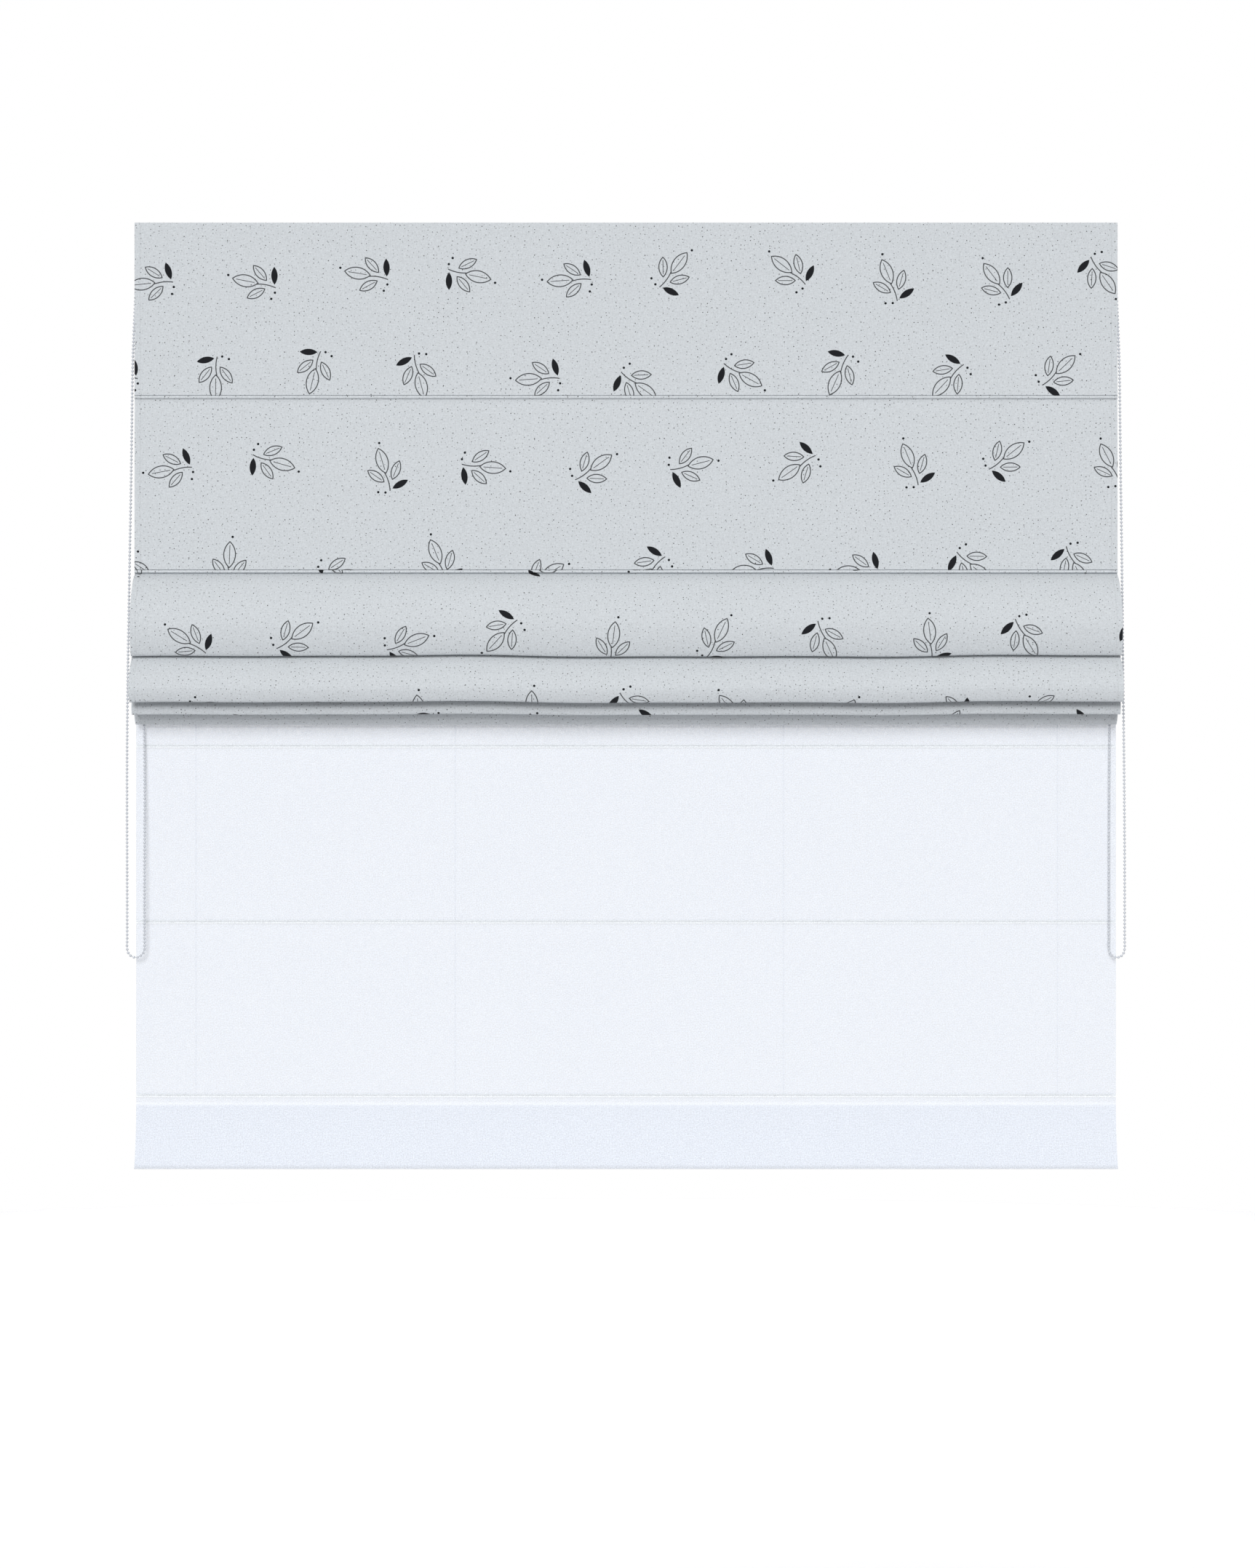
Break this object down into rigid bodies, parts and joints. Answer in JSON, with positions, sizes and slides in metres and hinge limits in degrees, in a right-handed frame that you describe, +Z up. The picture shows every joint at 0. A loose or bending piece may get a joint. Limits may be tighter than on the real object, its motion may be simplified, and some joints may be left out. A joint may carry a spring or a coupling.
{
  "type": "double roman blind with headrail",
  "caption": "Double roman blind: a printed front cloth half raised into soft folds over a full-length sheer, on a twin headrail, with a bead chain loop at each end.",
  "frame": {"origin": "centre of the middle bracket's rear face", "axes": "+X to the right as seen from the front, +Y backwards towards the fixing surface, +Z up"},
  "size_m": [1.6312, 0.1186, 1.5437],
  "materials": {
    "printed_cloth": "plain woven off-white cloth with a small grey speckle and a sparse grey outline print",
    "sheer_voile": "fine open-weave voile, see-through, double at its hem",
    "rod": "white glass-fibre rod",
    "lift_cord": "fine braided white cord",
    "bead_chain": "white moulded beads on a thin string",
    "rail": "satin, extruded",
    "housing": "moulded, fine texture",
    "bracket": "white powder coat",
    "screw": "zinc plated"
  },
  "bodies": {
    "root": {"front_cloth": "printed_cloth", "front_rod_1": "rod", "front_rod_2": "rod", "front_rod_3": "rod", "front_rod_4": "rod", "front_rod_5": "rod", "front_lift_cord_1": "lift_cord", "front_lift_cord_2": "lift_cord", "front_lift_cord_3": "lift_cord", "front_lift_cord_4": "lift_cord", "sheer_cloth": "sheer_voile", "sheer_rod_1": "rod", "sheer_rod_2": "rod", "sheer_rod_3": "rod", "sheer_rod_4": "rod", "sheer_rod_5": "rod", "sheer_lift_cord_1": "lift_cord", "sheer_lift_cord_2": "lift_cord", "sheer_lift_cord_3": "lift_cord", "sheer_lift_cord_4": "lift_cord", "front_rail": "rail", "rear_rail": "rail", "end_housing_left": "housing", "end_housing_right": "housing", "bracket_left": "bracket", "bracket_middle": "bracket", "bracket_right": "bracket", "rail_screw_left_rear": "screw", "rail_screw_left_front": "screw", "rail_screw_middle_rear": "screw", "rail_screw_middle_front": "screw", "rail_screw_right_rear": "screw", "rail_screw_right_front": "screw", "chain_left": "bead_chain", "chain_right": "bead_chain"}
  },
  "joints": []
}
